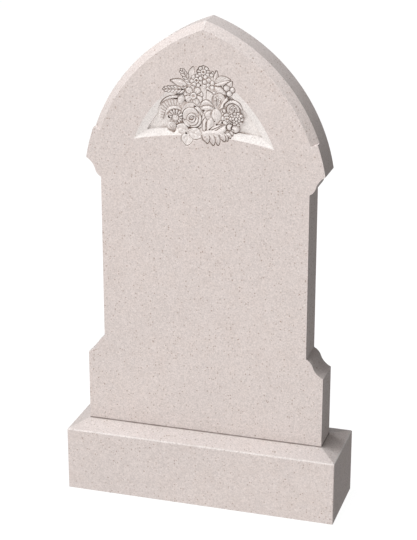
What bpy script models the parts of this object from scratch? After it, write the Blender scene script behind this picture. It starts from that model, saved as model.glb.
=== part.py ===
"""A stone grave memorial: a slab with a pointed head and a carved bouquet, standing on a low base.

Metres, +Z up. The origin is the middle of the base's underside, and the carved face looks along -Y.
"""
import math

import bmesh
import bpy
from mathutils import Vector

# Base
BASE_WIDTH = 0.610
BASE_DEPTH = 0.178
BASE_SIDE_HEIGHT = 0.145
BASE_WEATHERING = 0.015
BASE_ARRIS = 0.0015
JOINT_GAP = 0.0003

# Tablet, from its foot upwards
TABLET_THICKNESS = 0.075
TABLET_SETBACK = 0.0443
FOOT_WIDTH = 0.531
FOOT_HEIGHT = 0.1585
SHOULDER_HEIGHT = 0.041
WAIST_WIDTH = 0.455
WAIST_HEIGHT = 0.365
ARCH_WIDTH = 0.520
ARCH_RISE = 0.3045
ARCH_RADIUS = 0.392
TABLET_ARRIS = 0.001

# Chamfer along the arch, stopped above the shoulders
CHAMFER = 0.0153
CHAMFER_STOP_RISE = 0.067

# Sunk panel, following the arch
PANEL_MARGIN = 0.0894
PANEL_SPLAY = 0.0165
PANEL_SPLAY_DEPTH = 0.0065
PANEL_LIP = 0.0085
PANEL_SILL_RISE = 0.0665
PANEL_SILL_RADIUS = 0.700
PANEL_LEDGE = 0.0145

# Bouquet, drawn on a grid of its own that divides its height
BOUQUET_HEIGHT = 0.166
BOUQUET_ABOVE_SILL = 0.063
GRID_UNITS = 166
SINKING = 0.0045
SINKING_GAP = 0.0022

# Shape of an ogee, a share of its chord, and the smoothness of the solids
OGEE_HOLLOW_SHARE = 0.6
OGEE_SWING = math.radians(24)
OGEE_STEPS = 4
ARCH_STEPS = 22
PANEL_STEPS = 14
LEAF_ROWS = 4
ROUND_SIDES = 8

FACE_Y = -BASE_DEPTH / 2 + TABLET_SETBACK
BACK_Y = FACE_Y + TABLET_THICKNESS
SEAT_Z = BASE_SIDE_HEIGHT + BASE_WEATHERING
FOOT_Z = SEAT_Z + JOINT_GAP
SHOULDER_Z = FOOT_Z + FOOT_HEIGHT + SHOULDER_HEIGHT + WAIST_HEIGHT + SHOULDER_HEIGHT
APEX_Z = SHOULDER_Z + ARCH_RISE
SILL_Z = SHOULDER_Z + PANEL_SILL_RISE
PANEL_DEPTH = PANEL_SPLAY_DEPTH + PANEL_LIP
BOUQUET_Z = SILL_Z + BOUQUET_ABOVE_SILL
UNIT = BOUQUET_HEIGHT / GRID_UNITS
ROOT_DEPTH = 1.5 * PANEL_DEPTH
CUT_CLEARANCE = 0.006

for old in list(bpy.data.objects):
    bpy.data.objects.remove(old, do_unlink=True)


def stone(name, colour, roughness):
    """A plain stone material."""
    material = bpy.data.materials.new(name)
    material.use_nodes = True
    shader = material.node_tree.nodes["Principled BSDF"]
    shader.inputs["Base Color"].default_value = (*colour, 1.0)
    shader.inputs["Roughness"].default_value = roughness
    shader.inputs["Metallic"].default_value = 0.0
    return material


def loft(name, rings, collection=None):
    """A closed solid through rings that all have the same number of points, capped at both ends."""
    mesh = bmesh.new()
    rows = [[mesh.verts.new(point) for point in ring] for ring in rings]
    for lower, upper in zip(rows, rows[1:]):
        for index in range(len(lower)):
            after = (index + 1) % len(lower)
            mesh.faces.new((lower[index], lower[after], upper[after], upper[index]))
    mesh.faces.new(rows[0])
    mesh.faces.new(list(reversed(rows[-1])))
    return finish(name, mesh, collection)


def finish(name, mesh, collection=None):
    """Turn the faces outwards and link the object, as a hidden helper when it goes in a collection."""
    bmesh.ops.recalc_face_normals(mesh, faces=mesh.faces)
    data = bpy.data.meshes.new(name)
    mesh.to_mesh(data)
    mesh.free()
    result = bpy.data.objects.new(name, data)
    if collection is None:
        bpy.context.scene.collection.objects.link(result)
    else:
        collection.objects.link(result)
        result.hide_render = True
        result.display_type = "WIRE"
    return result


def helper_collection(name):
    """A collection for the solids that a Boolean adds or cuts."""
    collection = bpy.data.collections.new(name)
    bpy.context.scene.collection.children.link(collection)
    return collection


def circle_through(low, high, radius):
    """The centre of the arc that rises from low to high, bulging away from the middle of the slab."""
    chord = high - low
    reach = math.sqrt(radius ** 2 - (chord.length / 2) ** 2)
    inward = Vector((-chord.y, chord.x)).normalized()
    return (low + high) / 2 + inward * reach


def circles_meet(first, first_radius, second, second_radius):
    """The right-hand point where two circles cross."""
    between = second - first
    gap = between.length
    along = (gap ** 2 + first_radius ** 2 - second_radius ** 2) / (2 * gap)
    across = math.sqrt(first_radius ** 2 - along ** 2)
    direction = between / gap
    sideways = Vector((-direction.y, direction.x)) * across
    return max(first + direction * along + sideways, first + direction * along - sideways,
               key=lambda point: point.x)


def angle_at(centre, point):
    """The polar angle of a point about a centre."""
    return math.atan2(point.y - centre.y, point.x - centre.x)


def arc(centre, radius, start, end, steps):
    """Points along an arc, both ends included."""
    angles = [start + (end - start) * step / steps for step in range(steps + 1)]
    return [centre + Vector((math.cos(angle), math.sin(angle))) * radius for angle in angles]


def mirrored(points):
    """The same points on the other side of the slab, in reverse order."""
    return [Vector((-point.x, point.y)) for point in reversed(points)]


def bulge(start, end, swing, steps):
    """An arc from start to end that leaves its chord by the angle swing, to the left where positive."""
    chord = end - start
    left = Vector((-chord.y, chord.x)).normalized()
    height = chord.length / 2 * math.tan(abs(swing) / 2)
    radius = chord.length / 2 / math.sin(abs(swing))
    side = math.copysign(1, swing)
    centre = (start + end) / 2 + left * side * (height - radius)
    begin = angle_at(centre, start)
    return arc(centre, radius, begin, begin - side * 2 * abs(swing), steps)


def ogee(tip, neck):
    """A shoulder: hollow beside its tip and round beside the waist, read from tip to neck."""
    turn = tip + (neck - tip) * OGEE_HOLLOW_SHARE
    side = 1 if neck.y > tip.y else -1
    hollow = bulge(tip, turn, OGEE_SWING * side, OGEE_STEPS)
    rounded = bulge(turn, neck, -OGEE_SWING * side, OGEE_STEPS)
    return hollow + rounded[1:]


ARCH_TIP = Vector((ARCH_WIDTH / 2, SHOULDER_Z))
APEX = Vector((0, APEX_Z))
ARCH_CENTRE = circle_through(ARCH_TIP, APEX, ARCH_RADIUS)


def slab_outline():
    """The slab's outline, from the middle of its foot round to the right, over the apex and back."""
    foot_tip = Vector((FOOT_WIDTH / 2, FOOT_Z + FOOT_HEIGHT))
    waist_low = Vector((WAIST_WIDTH / 2, foot_tip.y + SHOULDER_HEIGHT))
    waist_high = Vector((WAIST_WIDTH / 2, waist_low.y + WAIST_HEIGHT))
    right = [Vector((FOOT_WIDTH / 2, FOOT_Z))]
    right += ogee(foot_tip, waist_low)
    right += list(reversed(ogee(ARCH_TIP, waist_high)))
    start = angle_at(ARCH_CENTRE, ARCH_TIP)
    end = angle_at(ARCH_CENTRE, APEX)
    right += arc(ARCH_CENTRE, ARCH_RADIUS, start, end, ARCH_STEPS)[1:-1]
    return right + [APEX] + mirrored(right)


def inset(outline, distance):
    """An outline that turns left, moved inwards by a distance along each corner's bisector."""
    moved = []
    for index, point in enumerate(outline):
        before = (point - outline[index - 1]).normalized()
        after = (outline[(index + 1) % len(outline)] - point).normalized()
        inward = Vector((-before.y - after.y, before.x + after.x)).normalized()
        lean = inward.dot(Vector((-before.y, before.x)))
        moved.append(point + inward * distance / lean)
    return moved


def standing(outline, depth):
    """An outline drawn on the slab's face, placed at a depth behind it."""
    return [(point.x, FACE_Y + depth, point.y) for point in outline]


def tablet_slab():
    """The slab, with a fine arris along its front and back edges."""
    outline = slab_outline()
    fine = inset(outline, TABLET_ARRIS)
    rings = [
        standing(fine, 0),
        standing(outline, TABLET_ARRIS),
        standing(outline, TABLET_THICKNESS - TABLET_ARRIS),
        standing(fine, TABLET_THICKNESS),
    ]
    return loft("tablet", rings)


def chamfer_cutters(collection):
    """Swept wedges that take off the front edge of the arch, ending square above the shoulders."""
    stop_z = SHOULDER_Z + CHAMFER_STOP_RISE
    start = math.asin((stop_z - ARCH_CENTRE.y) / ARCH_RADIUS)
    end = angle_at(ARCH_CENTRE, APEX) + CHAMFER / ARCH_RADIUS
    inner = ARCH_RADIUS - CHAMFER - CUT_CLEARANCE
    outer = ARCH_RADIUS + CUT_CLEARANCE
    wedge = [(inner, -CUT_CLEARANCE), (outer, CHAMFER + CUT_CLEARANCE), (outer, -CUT_CLEARANCE)]
    for side in (-1, 1):
        rings = []
        for step in range(ARCH_STEPS + 1):
            angle = start + (end - start) * step / ARCH_STEPS
            ring = []
            for reach, depth in wedge:
                across = side * (ARCH_CENTRE.x + math.cos(angle) * reach)
                ring.append((across, FACE_Y + depth, ARCH_CENTRE.y + math.sin(angle) * reach))
            rings.append(ring)
        loft("arch_chamfer_cut", rings, collection)


def panel_ring(splay, ledge):
    """The panel's outline, drawn in by a splay along the arch and lifted by a ledge at the sill."""
    radius = ARCH_RADIUS - PANEL_MARGIN - splay
    sill_radius = PANEL_SILL_RADIUS + ledge
    sill_centre = Vector((0, SILL_Z - PANEL_SILL_RADIUS))
    corner = circles_meet(ARCH_CENTRE, radius, sill_centre, sill_radius)
    start = angle_at(ARCH_CENTRE, corner)
    end = math.acos(-ARCH_CENTRE.x / radius)
    right = arc(ARCH_CENTRE, radius, start, end, PANEL_STEPS)
    corner_angle = angle_at(sill_centre, corner)
    sill = arc(sill_centre, sill_radius, math.pi - corner_angle, corner_angle, PANEL_STEPS)
    return right + mirrored(right)[1:] + sill[1:-1]


def panel_cutter(collection):
    """The sunk panel: sloping sides, then an upright lip down to a flat floor."""
    over = -CUT_CLEARANCE / PANEL_SPLAY_DEPTH
    floor = panel_ring(PANEL_SPLAY, PANEL_LEDGE)
    rings = [
        standing(panel_ring(PANEL_SPLAY * over, PANEL_LEDGE * over), -CUT_CLEARANCE),
        standing(floor, PANEL_SPLAY_DEPTH),
        standing(floor, PANEL_DEPTH),
    ]
    loft("panel_cut", rings, collection)


def carved(point, level):
    """A point of the bouquet's grid; level 0 is the slab's face and -15 the floor of the panel."""
    return (point.x * UNIT, FACE_Y - level * PANEL_DEPTH / 15, BOUQUET_Z + point.y * UNIT)


def close_down(mesh, rim):
    """Carry a surface's rim straight back into the stone and close it there."""
    ring = [mesh.verts.new((vert.co.x, FACE_Y + ROOT_DEPTH, vert.co.z)) for vert in rim]
    for index in range(len(rim)):
        after = (index + 1) % len(rim)
        mesh.faces.new((rim[index], rim[after], ring[after], ring[index]))
    mesh.faces.new(list(reversed(ring)))


def ribbon(axis, half_width, edge_level, crown, ridge=0.0, rows=LEAF_ROWS):
    """A leaf or petal: a strip along an axis, with its middle line raised above its two edges."""
    mesh = bmesh.new()
    grid = []
    for row in range(rows + 1):
        share = row / rows
        along = axis(min(share + 0.01, 1)) - axis(max(share - 0.01, 0))
        side = Vector((-along.y, along.x)).normalized() * half_width(share)
        swell = crown * half_width(share) / half_width(0.5)
        level = edge_level(share)
        line = []
        for across, lift in ((-1, 0), (ridge, swell), (1, 0)):
            line.append(mesh.verts.new(carved(axis(share) + side * across, level + lift)))
        grid.append(line)
    for lower, upper in zip(grid, grid[1:]):
        for column in range(2):
            mesh.faces.new((lower[column], lower[column + 1], upper[column + 1], upper[column]))
    rim = [line[0] for line in grid] + [grid[-1][1]]
    rim += [line[2] for line in reversed(grid)] + [grid[0][1]]
    close_down(mesh, rim)
    finish("carving", mesh, CARVING)


def sink_ring(outline, gap, level):
    """An outline moved outwards and placed at a level."""
    ring = []
    for index, point in enumerate(outline):
        chord = outline[(index + 1) % len(outline)] - outline[index - 1]
        ring.append(carved(point + Vector((chord.y, -chord.x)).normalized() * gap / UNIT, level))
    return ring


def sink(outline):
    """Lower the face round an outline, so that what stands inside it is carved in the slab."""
    depth_level = -SINKING / PANEL_DEPTH * 15
    rings = [sink_ring(outline, SINKING_GAP * 1.3, 3), sink_ring(outline, SINKING_GAP * 0.6, depth_level)]
    loft("sinking", rings, CUTS)


def strip_outline(axis, half_width, rows=LEAF_ROWS + 1):
    """The outline of a strip, turning left."""
    right, left = [], []
    for row in range(rows + 1):
        share = row / rows
        along = axis(min(share + 0.01, 1)) - axis(max(share - 0.01, 0))
        side = Vector((-along.y, along.x)).normalized() * half_width(share)
        right.append(axis(share) - side)
        left.append(axis(share) + side)
    return right + list(reversed(left))


def leaf(base, tip, width, level, crown=3.0, bend=0.0, widest=0.5, fullness=1.0, ridge=0.0,
         teeth=0, sunk=False, rows=LEAF_ROWS):
    """A leaf or petal from base to tip. level gives its edges' level at both ends."""
    start, end = Vector(base), Vector(tip)
    chord = end - start
    control = (start + end) / 2 + Vector((-chord.y, chord.x)) * bend
    power = math.log(0.5) / math.log(widest)

    def axis(share):
        """The middle line, a bent curve."""
        return start * (1 - share) ** 2 + control * 2 * share * (1 - share) + end * share ** 2

    def half_width(share):
        """Half the width of the plain leaf."""
        swell = math.sin(math.pi * share ** power) if 0 < share < 1 else 0
        return max(width / 2 * max(swell, 0) ** fullness, 0.5)

    def toothed(share):
        """Half the width, with teeth that lean to the tip."""
        bite = (share * teeth) % 1 if 0 < share < 1 else 0
        return half_width(share) * (1 - 0.3 * (1 - bite))

    def edge_level(share):
        """The level of the leaf's edges."""
        return level[0] + (level[1] - level[0]) * share

    if sunk:
        sink(strip_outline(axis, half_width))
    if teeth:
        ribbon(axis, toothed, edge_level, crown, ridge, rows=3 * teeth)
    else:
        ribbon(axis, half_width, edge_level, crown, ridge, rows)


def crescent(centre, radius, start, end, width, level, crown=3.0, ridge=0.0, rows=5):
    """A curled petal edge: a strip along an arc of a circle, tapering to both ends. Angles in degrees."""
    middle = Vector(centre)

    def axis(share):
        """The arc."""
        angle = math.radians(start + (end - start) * share)
        return middle + Vector((math.cos(angle), math.sin(angle))) * radius

    def half_width(share):
        """Half the width, narrow at both ends."""
        return max(width / 2 * math.sin(math.pi * min(max(share, 0), 1)) ** 0.6, 0.5)

    ribbon(axis, half_width, lambda share: level, crown, ridge, rows)


def boss(centre, radius, profile, sides=ROUND_SIDES, sunk=False):
    """A round form. profile lists its level at shares of the radius, from the middle outwards."""
    middle = Vector(centre)
    mesh = bmesh.new()
    hub = mesh.verts.new(carved(middle, profile[0][1]))
    rings = []
    for share, level in profile[1:]:
        rings.append([mesh.verts.new(carved(point, level)) for point in circle(middle, radius * share, sides)])
    for index in range(sides):
        after = (index + 1) % sides
        mesh.faces.new((hub, rings[0][index], rings[0][after]))
        for inner, outer in zip(rings, rings[1:]):
            mesh.faces.new((inner[index], outer[index], outer[after], inner[after]))
    close_down(mesh, rings[-1])
    finish("carving", mesh, CARVING)
    if sunk:
        sink(circle(middle, radius, sides))


def circle(middle, radius, sides):
    """Corners of a round outline."""
    turns = [math.tau * index / sides for index in range(sides)]
    return [middle + Vector((math.cos(turn), math.sin(turn))) * radius for turn in turns]


def berry(centre, radius, top, sides=ROUND_SIDES, sunk=False):
    """A ball, its top at a level."""
    profile = []
    for degrees in (0, 35, 75):
        lean = math.radians(degrees)
        profile.append((math.sin(lean), top - radius * (1 - math.cos(lean))))
    boss(centre, radius, profile, sides, sunk)


def blossom(centre, radius, petals, width, level, turn=0.0, start=0.15, crown=2.5, fullness=0.6,
            sunk=False, rows=3):
    """Petals set round a centre. turn is the first petal's angle in degrees."""
    middle = Vector(centre)
    if sunk:
        sink(circle(middle, radius, 12))
    for index in range(petals):
        angle = math.radians(turn) + math.tau * index / petals
        reach = Vector((math.cos(angle), math.sin(angle)))
        leaf(middle + reach * radius * start, middle + reach * radius, width, level, crown,
             widest=0.6, fullness=fullness, rows=rows)


def wheat_ear(base, tip, pairs, width, level):
    """An ear of wheat: grains in pairs along a stalk that all point to its tip, and one at the end."""
    start, end = Vector(base), Vector(tip)
    stalk = end - start
    side = Vector((-stalk.y, stalk.x)).normalized()
    forward = stalk.normalized()
    pitch = stalk.length / (pairs + 1)

    def half_width(share):
        """Half the ear's width, drawn in to its tip."""
        return width / 2 * (1 - 0.3 * share) * min(1, 0.25 + 2 * (1 - share))

    sink(strip_outline(lambda share: start + stalk * share, half_width, 6))
    for index in range(pairs):
        share = (index + 0.4) / (pairs + 1)
        root = start + stalk * share
        reach = half_width(share)
        for hand in (-1, 1):
            grain_tip = root + side * hand * reach * 0.92 + forward * pitch * 1.15
            leaf(root + side * hand * 0.6, grain_tip, pitch * 0.72, (level - 2, level - 1), 2.0,
                 fullness=0.7, rows=2)
    leaf(end - forward * pitch * 1.3, end, pitch * 0.7, (level - 2, level - 1), 2.0, fullness=0.7, rows=2)


def rose(centre, radius, turn, rings):
    """A rose: curled petal edges wrapped round a small bud, over a low round body."""
    boss(centre, radius, [(0, -4), (0.5, -4.5), (0.8, -6.5), (1, -9)], sides=12)
    for share, petals, sweep, width, level in rings:
        for index in range(petals):
            start = turn + 360 * index / petals + 200 * share
            crescent(centre, radius * share, start, start + sweep, width, level, crown=2.6, ridge=-0.2)
    berry(centre, radius * 0.12, -2.2, sides=5)


def drill(centre, radius):
    """A deep hole between the flowers, narrowing to the panel's floor."""
    middle = Vector(centre)
    rings = []
    for share, level in ((1.15, 3), (1, -6), (0.7, -14)):
        rings.append([carved(point, level) for point in circle(middle, radius * share, 6)])
    loft("drilling", rings, DRILLINGS)


CUTS = helper_collection("cuts")
CARVING = helper_collection("carved forms")
DRILLINGS = helper_collection("drillings")


def bouquet():
    """The bouquet, flower by flower, from the top of the panel down to the leaves under its sill."""
    boss((2, -18), 60, [(0, -7.5), (0.6, -8), (1, -9.5)], sides=14)

    # Two ears of wheat and the leaves along the top
    wheat_ear((-36, 33), (-87, 31), 7, 17, -0.6)
    wheat_ear((-31, 52), (-48, 74), 3, 15, -0.6)
    leaf((-36, 42), (-70, 50), 16, (-3, -2.2), 1.8, bend=-0.06, widest=0.42, ridge=0.1, sunk=True)
    leaf((-25, 54), (-21, 82), 13, (-3, -2.2), 1.8, bend=0.1, widest=0.42, ridge=-0.3, sunk=True)
    leaf((23, 49), (28.5, 76), 10, (-3, -2.2), 2.0, bend=-0.12, ridge=0.2, sunk=True)
    leaf((23, 48), (59, 58), 18, (-3.4, -2.2), 2.4, bend=0.05, widest=0.55, ridge=-0.55, sunk=True)
    leaf((22, 42), (48, 27), 15, (-4, -3), 3.0, bend=0.08, teeth=3, sunk=True)
    leaf((27, 31), (20, 26), 6, (-4, -3), 2.0, rows=2, sunk=True)

    # Small flowers of the top row
    blossom((1, 71), 12, 6, 11, (-3.5, -2.6), turn=20, crown=1.2, sunk=True)
    boss((1, 72), 7.5, [(0, -6), (0.55, -5.5), (0.85, -0.6), (1, -1.8)])
    blossom((-14, 53), 13, 7, 9, (-3.5, -2.8), turn=10, crown=1.8, sunk=True)
    boss((-14, 54.5), 5, [(0, -4), (0.45, -3.6), (0.8, -0.4), (1, -1.4)])
    blossom((11, 46), 13, 6, 11, (-4, -3), turn=0, crown=2.0, sunk=True)
    berry((11, 45.5), 3.6, -0.4)
    berry((18, 68), 4.5, -1.2, sunk=True)

    # Bud and berries on the right
    leaf((49, 39), (61.5, 57), 10, (-3, -2), 1.6, widest=0.35, sunk=True)
    berry((50.5, 42.5), 7, -0.4, sunk=True)
    berry((63, 39.5), 5.8, -0.4, sunk=True)
    berry((56, 31), 6.2, -0.6, sunk=True)

    # Broad flower left of the middle
    blossom((-21, 21.5), 20, 6, 16, (-5, -4.4), turn=25, crown=3.2, sunk=True, rows=4)
    boss((-21, 21), 7.5, [(0, -3.2), (0.4, -2.6), (0.75, -0.6), (1, -2.4)])

    # Lily, with its throat, lip, stamens and four spread petals
    leaf((24, -3), (9, 36), 19, (-6, -4), 3.2, bend=-0.1, widest=0.62, fullness=0.7)
    leaf((26, -6), (44, 31), 30, (-6, -5), -2.4, bend=-0.04, widest=0.6, fullness=0.6)
    leaf((30, -6), (52, 27), 6, (-3, -2.4), 2.0, bend=-0.2, widest=0.6)
    for x, rise in ((27, 12), (31, 16), (30, 8), (34, 11), (35, 18), (32, 3)):
        berry((x, rise), 2.2, -3.4, sides=5)
    leaf((24, -2), (-5, 9), 15, (-6, -6), 2.0, bend=-0.16, fullness=0.7)
    leaf((24, -4), (-3, -1), 17, (-5, -5), 3.2, bend=-0.08, fullness=0.65)
    leaf((24, -11), (3, -22), 14, (-6, -6), 2.8, bend=-0.05, fullness=0.65)
    leaf((24, -3), (34, -35), 26, (-5, -5), 3.6, bend=0.08, fullness=0.62)

    # Tulip petals and long curved leaves under the lily
    leaf((3, -54), (6, -26), 13, (-6, -5), 3.0, widest=0.6, fullness=0.62)
    leaf((10, -54), (18, -21), 15, (-6, -6), 3.0, bend=-0.08, widest=0.6, fullness=0.62)
    leaf((0, -55), (31, -36), 11, (-6, -4), 3.0, bend=-0.2)
    leaf((0, -57), (42, -34), 11, (-5.5, -4), 3.2, bend=-0.26)
    leaf((-2, -57), (52, -32), 12, (-5, -3.5), 3.4, bend=-0.34)

    # Large rose
    leaf((-20, -24), (-38, 3), 36, (-5, -4), -2.0, bend=-0.1, widest=0.6, fullness=0.6)
    leaf((-14, -20), (-14, 0), 16, (-6, -5), 1.6, fullness=0.6)
    crescent((-24, -26), 24, -62, 38, 9, -5.4, crown=3.4, ridge=0.2)
    crescent((-24, -26), 23, 150, 255, 9, -6.4, crown=3.0)
    rose((-24, -26), 21, 70, ((0.28, 1, 250, 3.4, -4.2), (0.56, 2, 190, 4.6, -4.6), (0.86, 3, 150, 5.2, -6)))

    # Daisy with a curled leaf behind it
    blossom((-60, -28), 15, 14, 4.6, (-6, -4.6), turn=5, start=0.35, crown=2.0, rows=2)
    boss((-60, -28), 6, [(0, -3.8), (0.6, -4.2), (1, -5.6)])
    crescent((-60, -28), 21.5, 58, 172, 8.5, -6.4, crown=3.6, rows=7)
    for index in range(8):
        angle = math.radians(84 + 15 * index)
        reach = Vector((math.cos(angle), math.sin(angle)))
        middle = Vector((-58, -26))
        leaf(middle + reach * 21, middle + reach * 31, 8, (-8, -7), 2.4, bend=0.1, fullness=0.6, rows=2)
    berry((-46, 12), 8.5, -1.4)
    leaf((-44, 8), (-76, -2), 14, (-6, -6), 2.2, bend=-0.12)
    leaf((-60, 16), (-88, 1), 6, (-4, -3), 2.0, bend=-0.1)

    # Flowers along the right edge
    crescent((63, -6), 20, 15, 150, 8.5, -6, crown=3.6, rows=7)
    rose((64, -3), 14.5, 200, ((0.35, 1, 250, 3.2, -4.2), (0.62, 2, 172, 3.8, -4.8), (0.9, 3, 134, 4.4, -6)))
    blossom((51, -23), 10.5, 5, 10, (-6, -5), turn=30, crown=2.4)
    boss((51, -22.5), 5, [(0, -4.2), (0.5, -3.6), (0.8, -2), (1, -3.4)])
    blossom((71, -22), 14.5, 9, 7.5, (-6.5, -5.4), turn=0, crown=2.6)
    berry((71, -22), 4, -2)
    berry((57.5, -39), 7, -2.2)
    berry((70, -42), 8.6, -2.6)
    leaf((68, -46), (54, -56), 8, (-7, -7), 2.4)

    for x, rise, radius in ((0, -9, 2.7), (-75, -28, 3.2), (-38, 9.5, 3), (24, -29.5, 1.9), (28.5, -36.5, 2.2),
                            (40.5, -32, 2.1), (-18.5, -1.5, 2.4), (-36, -58.5, 2), (24.5, -2, 1.6)):
        drill((x, rise), radius)

    # Leaves over the sill
    for index, (x, rise) in enumerate(((-78, -48), (-72, -42), (-64, -41), (-58, -46))):
        leaf((-69, -59), (x, rise), 7, (-8, -7), 2.4, bend=0.05, fullness=0.6, rows=3)
    leaf((-32, -51), (-56, -55), 20, (-5, -5), 2.8, bend=0.12, fullness=0.6, ridge=0.2)
    leaf((-34, -53), (-35.5, -85), 24, (-2.8, -2.2), 1.8, bend=-0.04, widest=0.6, fullness=0.8, sunk=True)
    leaf((-33, -50), (-3, -64), 22, (-3, -2.2), 2.0, bend=-0.06, widest=0.55, fullness=0.8, sunk=True)
    for x, rise, width, bend in ((9, -77, 13, 0.1), (21, -82, 14, 0.12), (34, -81, 13, 0.12),
                                 (47, -72, 12, 0.12), (58, -63, 9, 0.1)):
        leaf((-2, -57), (x, rise), width, (-3, -2.2), 1.9, bend=bend, widest=0.68, fullness=0.8, sunk=True)


def boolean(target, operation, collection, solver="EXACT"):
    """Add or cut a whole collection."""
    modifier = target.modifiers.new(collection.name, "BOOLEAN")
    modifier.operation = operation
    modifier.operand_type = "COLLECTION"
    modifier.collection = collection
    modifier.solver = solver


def build_tablet():
    """The slab with its chamfer, panel and bouquet."""
    slab = tablet_slab()
    chamfer_cutters(CUTS)
    panel_cutter(CUTS)
    bouquet()
    boolean(slab, "DIFFERENCE", CUTS)
    boolean(slab, "UNION", CARVING)
    # Deep holes between the flowers, through the finished carving
    boolean(slab, "DIFFERENCE", DRILLINGS, solver="MANIFOLD")
    slab.data.materials.append(stone("slab stone", (0.68, 0.61, 0.58), 0.85))


def base_ring(width, depth, height):
    """A rectangle with its four corners taken off by the arris."""
    cut = BASE_ARRIS
    half, deep = width / 2, depth / 2
    corners = [(half, -deep + cut), (half, deep - cut), (half - cut, deep), (-half + cut, deep),
               (-half, deep - cut), (-half, -deep + cut), (-half + cut, -deep), (half - cut, -deep)]
    return [(x, y, height) for x, y in corners]


def build_base():
    """The base: upright sides, and a top that falls from the slab's foot to all four sides."""
    slope = BASE_WEATHERING / TABLET_SETBACK
    inner_width, inner_depth = BASE_WIDTH - 2 * BASE_ARRIS, BASE_DEPTH - 2 * BASE_ARRIS
    middle_y = (FACE_Y + BACK_Y) / 2
    rings = [
        base_ring(BASE_WIDTH, BASE_DEPTH, 0),
        base_ring(BASE_WIDTH, BASE_DEPTH, BASE_SIDE_HEIGHT - BASE_ARRIS),
        base_ring(inner_width, inner_depth, BASE_SIDE_HEIGHT + slope * BASE_ARRIS),
        [(x, y + middle_y, z) for x, y, z in base_ring(FOOT_WIDTH, TABLET_THICKNESS, SEAT_Z)],
    ]
    block = loft("base", rings)
    block.data.materials.append(stone("base stone", (0.66, 0.60, 0.57), 0.85))


build_tablet()
build_base()
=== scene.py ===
import math

import bmesh
import bpy
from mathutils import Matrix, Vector, noise
from mathutils.bvhtree import BVHTree


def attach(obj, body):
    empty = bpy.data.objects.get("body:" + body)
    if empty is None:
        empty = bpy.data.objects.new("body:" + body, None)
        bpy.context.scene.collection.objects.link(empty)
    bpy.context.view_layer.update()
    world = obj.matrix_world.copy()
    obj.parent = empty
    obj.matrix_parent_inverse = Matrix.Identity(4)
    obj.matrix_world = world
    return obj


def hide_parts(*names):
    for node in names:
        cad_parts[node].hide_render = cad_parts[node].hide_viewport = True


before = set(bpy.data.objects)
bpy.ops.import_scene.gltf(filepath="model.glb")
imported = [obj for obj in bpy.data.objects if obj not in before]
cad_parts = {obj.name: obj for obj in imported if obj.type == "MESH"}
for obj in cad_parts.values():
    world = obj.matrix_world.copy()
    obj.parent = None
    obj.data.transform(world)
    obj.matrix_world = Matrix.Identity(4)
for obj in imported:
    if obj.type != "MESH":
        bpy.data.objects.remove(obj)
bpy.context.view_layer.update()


# The studio: a pale floor that glows as a light table does, a broad lamp high over the memorial and a
# little to its left, and a white tent round it all that is brightest in front. The camera stands to the
# right of the memorial and looks down on it.
CAMERA_AT = Vector((0.9752, -3.2010, 1.7404))
CAMERA_AIM = Vector((-0.0024, 0.0, 0.5228))
CAMERA_LENS = 110.385
CAMERA_SENSOR = 36
LAMP_AT = Vector((-1.45, -0.72, 6.7))
LAMP_AIM = Vector((0.0, 0.0, 0.80))
LAMP_SIZE = 3.4
LAMP_POWER = 352
LAMP_COLOUR = (0.975, 0.99, 1.0)
TENT_SIDE = Vector((-0.14, -0.985, -0.10))
TENT_LIGHT = -0.07
TENT_SLOPE = 1.59
TENT_LEAST = 0.02
TENT_COLOUR = (1.0, 0.970, 0.952, 1)
BACKDROP_WHITE = 1.05
FLOOR_SIZE = 120.0
FLOOR_GLOW = 0.97
FLOOR_TONE = 0.10

camera_data = bpy.data.cameras.new("camera")
camera_data.lens = CAMERA_LENS
camera_data.sensor_width = CAMERA_SENSOR
camera = bpy.data.objects.new("camera", camera_data)
camera.location = CAMERA_AT
camera.rotation_euler = (CAMERA_AIM - CAMERA_AT).to_track_quat("-Z", "Y").to_euler()
bpy.context.scene.collection.objects.link(camera)
bpy.context.scene.camera = camera
bpy.context.scene.view_settings.view_transform = "Standard"

lamp_data = bpy.data.lights.new("lamp", "AREA")
lamp_data.shape = "DISK"
lamp_data.size = LAMP_SIZE
lamp_data.energy = LAMP_POWER
lamp_data.color = LAMP_COLOUR
lamp = bpy.data.objects.new("lamp", lamp_data)
lamp.location = LAMP_AT
lamp.rotation_euler = (LAMP_AIM - LAMP_AT).to_track_quat("-Z", "Y").to_euler()
lamp.visible_camera = False
bpy.context.scene.collection.objects.link(lamp)


class Number:
    """A socket whose value varies over a surface. Arithmetic on it adds Math nodes."""

    def __init__(self, finish, socket):
        self.finish = finish
        self.socket = socket

    def other(self, name):
        """Another output of the same node."""
        return Number(self.finish, self.socket.node.outputs[name])

    def math(self, operation, *values):
        """A Math node with these values in its sockets."""
        return self.finish.node("ShaderNodeMath", {"operation": operation}, dict(enumerate(values)))

    def __add__(self, value):
        return self.math("ADD", self, value)

    def __sub__(self, value):
        return self.math("SUBTRACT", self, value)

    def __rsub__(self, value):
        return self.math("SUBTRACT", value, self)

    def __mul__(self, value):
        return self.math("MULTIPLY", self, value)

    __radd__ = __add__
    __rmul__ = __mul__

    def held(self):
        """The same number, kept between 0 and 1."""
        return self.finish.node("ShaderNodeClamp", {}, {0: self})


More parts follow.
